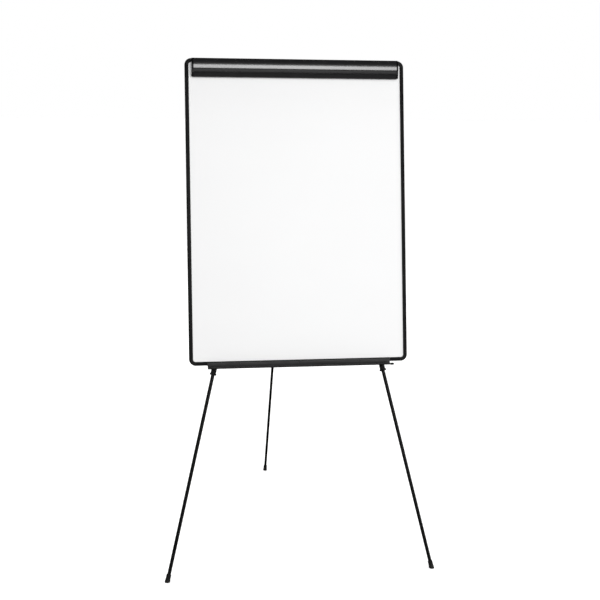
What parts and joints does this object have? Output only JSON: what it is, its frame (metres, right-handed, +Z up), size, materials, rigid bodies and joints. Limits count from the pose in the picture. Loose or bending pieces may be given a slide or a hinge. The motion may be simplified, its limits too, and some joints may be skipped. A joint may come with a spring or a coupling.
{
  "type": "flipchart easel",
  "caption": "Tripod flipchart easel: framed white writing board with rocking pad clamp and marker tray on hinged telescopic legs with twist locks and rubber feet.",
  "frame": {"origin": "on the floor, at the centre of the footprint of the three spread legs", "axes": "+Z up, the writing face looks towards -Y, +X to the viewer's right"},
  "size_m": [0.9204, 1.0342, 1.7019],
  "materials": {
    "frame": "satin black extruded plastic",
    "corner": "moulded satin black plastic",
    "writing_surface": "glossy white dry-erase melamine",
    "core": "raw fibreboard",
    "backing": "dark grey backing film",
    "retainer": "glossy black extruded plastic",
    "retainer_cap": "moulded black plastic",
    "base_rail": "black anodised extrusion",
    "spring_steel": "oiled spring steel",
    "plain_steel": "bright drawn steel",
    "black_screw": "black zinc screw",
    "rubber": "matt black rubber",
    "tray": "black anodised extrusion",
    "nylon": "moulded black nylon",
    "leg_tube": "black powder-coated steel tube",
    "strap": "black painted steel strip"
  },
  "bodies": {
    "board": {"frame_rail_left": "frame", "frame_rail_right": "frame", "frame_rail_top": "frame", "frame_rail_bottom": "frame", "frame_corner_bottom_left": "corner", "frame_corner_bottom_right": "corner", "frame_corner_top_left": "corner", "frame_corner_top_right": "corner", "writing_sheet": "writing_surface", "core_board": "core", "backing_sheet": "backing", "retainer_base_rail": "base_rail", "retainer_base_screws": "black_screw", "retainer_hinge_rod": "plain_steel", "retainer_springs": "spring_steel", "marker_tray": "tray", "tray_screws": "black_screw", "tray_end_plugs": "nylon", "tripod_head": "nylon", "head_screws": "black_screw", "front_pivot_rivets": "plain_steel", "rear_pivot_pin": "plain_steel", "leg_guide_strap": "strap", "strap_spacers": "nylon", "strap_screws": "black_screw"},
    "pad_retainer": {"retainer_bar": "retainer", "retainer_spring_clips": "spring_steel", "retainer_rivets": "black_screw", "retainer_end_cap_right": "retainer_cap", "retainer_end_cap_left": "retainer_cap", "retainer_end_screws": "black_screw", "retainer_grip_strip": "rubber"},
    "left_leg": {"left_leg_top_fitting": "nylon", "left_leg_upper_tube": "leg_tube", "left_leg_lock_body": "nylon", "left_leg_lock_collet": "nylon"},
    "left_leg_lock": {"left_leg_lock_ring": "nylon"},
    "left_leg_lower": {"left_leg_tube_bushing": "nylon", "left_leg_lower_tube": "leg_tube", "left_leg_foot": "rubber"},
    "right_leg": {"right_leg_top_fitting": "nylon", "right_leg_upper_tube": "leg_tube", "right_leg_lock_body": "nylon", "right_leg_lock_collet": "nylon"},
    "right_leg_lock": {"right_leg_lock_ring": "nylon"},
    "right_leg_lower": {"right_leg_tube_bushing": "nylon", "right_leg_lower_tube": "leg_tube", "right_leg_foot": "rubber"},
    "rear_leg": {"rear_leg_top_fitting": "nylon", "rear_leg_upper_tube": "leg_tube", "rear_leg_lock_body": "nylon", "rear_leg_lock_collet": "nylon"},
    "rear_leg_lock": {"rear_leg_lock_ring": "nylon"},
    "rear_leg_lower": {"rear_leg_tube_bushing": "nylon", "rear_leg_lower_tube": "leg_tube", "rear_leg_foot": "rubber"}
  },
  "joints": [
    {"name": "pad_retainer_rock", "type": "hinge", "parent": "board", "child": "pad_retainer", "pos_m": [0, -0.21798, 1.67695], "axis": [-1, 0, 0], "range_deg": [0, 10], "stiffness_Nm_per_rad": 1.2, "springref_deg": -22.92, "deforming": ["retainer_springs"]},
    {"name": "left_leg_fold", "type": "hinge", "parent": "board", "child": "left_leg", "pos_m": [-0.052, -0.18667, 1.65456], "axis": [0, 0.9816, -0.1908], "range_deg": [-13.3, 0]},
    {"name": "left_leg_twist_lock", "type": "hinge", "parent": "left_leg", "child": "left_leg_lock", "pos_m": [-0.28731, -0.37634, 0.6788], "axis": [-0.2304, -0.1857, -0.9552], "range_deg": [0, 90]},
    {"name": "left_leg_slide", "type": "slide", "parent": "left_leg", "child": "left_leg_lower", "axis": [-0.2304, -0.1857, -0.9552], "range_m": [-0.66, 0]},
    {"name": "right_leg_fold", "type": "hinge", "parent": "board", "child": "right_leg", "pos_m": [0.052, -0.18667, 1.65456], "axis": [0, -0.9816, 0.1908], "range_deg": [-13.3, 0]},
    {"name": "right_leg_twist_lock", "type": "hinge", "parent": "right_leg", "child": "right_leg_lock", "pos_m": [0.28731, -0.37634, 0.6788], "axis": [0.2304, -0.1857, -0.9552], "range_deg": [0, 90]},
    {"name": "right_leg_slide", "type": "slide", "parent": "right_leg", "child": "right_leg_lower", "axis": [0.2304, -0.1857, -0.9552], "range_m": [-0.66, 0]},
    {"name": "rear_leg_fold", "type": "hinge", "parent": "board", "child": "rear_leg", "pos_m": [0, -0.16603, 1.64545], "axis": [1, 0, 0], "range_deg": [-33.2, 0]},
    {"name": "rear_leg_twist_lock", "type": "hinge", "parent": "rear_leg", "child": "rear_leg_lock", "pos_m": [0, 0.22132, 0.70025], "axis": [0, 0.3792, -0.9253], "range_deg": [0, 90]},
    {"name": "rear_leg_slide", "type": "slide", "parent": "rear_leg", "child": "rear_leg_lower", "axis": [0, 0.3792, -0.9253], "range_m": [-0.66, 0]}
  ]
}
